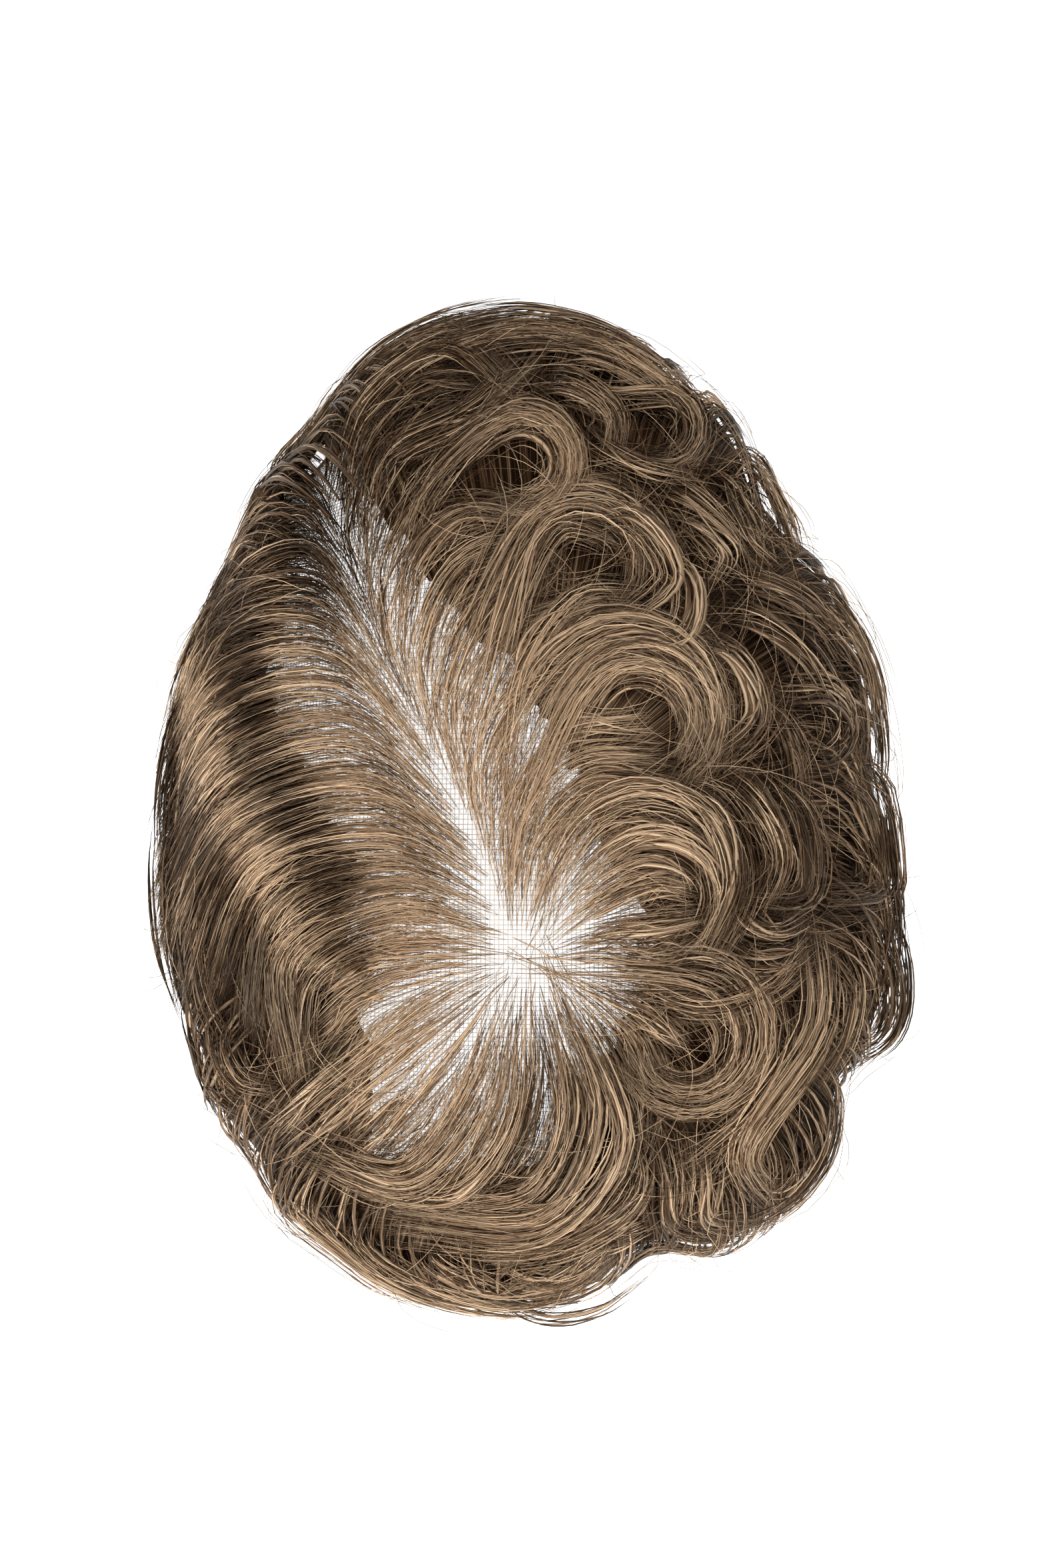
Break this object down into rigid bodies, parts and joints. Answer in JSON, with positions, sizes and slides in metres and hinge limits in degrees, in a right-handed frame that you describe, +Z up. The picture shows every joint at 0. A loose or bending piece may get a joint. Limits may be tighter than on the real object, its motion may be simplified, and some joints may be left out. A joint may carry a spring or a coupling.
{
  "type": "lace front wig",
  "caption": "Short parted and curled brown hairpiece on a hollow lace base, lying dome up on its rim; worn over the crown and front of the head.",
  "frame": {"origin": "on the surface below the rim, under the middle of the whole hairpiece", "axes": "+Z up out of the crown, +Y to the front hairline, +X to the wearer's right"},
  "size_m": [0.1752, 0.2354, 0.0719],
  "materials": {
    "lace": "sheer square lace net",
    "hair": "satin medium brown hair with lighter strands"
  },
  "bodies": {
    "root": {"lace_base": "lace", "left_hair": "hair", "front_hair": "hair", "right_hair": "hair", "back_hair": "hair"}
  },
  "joints": []
}
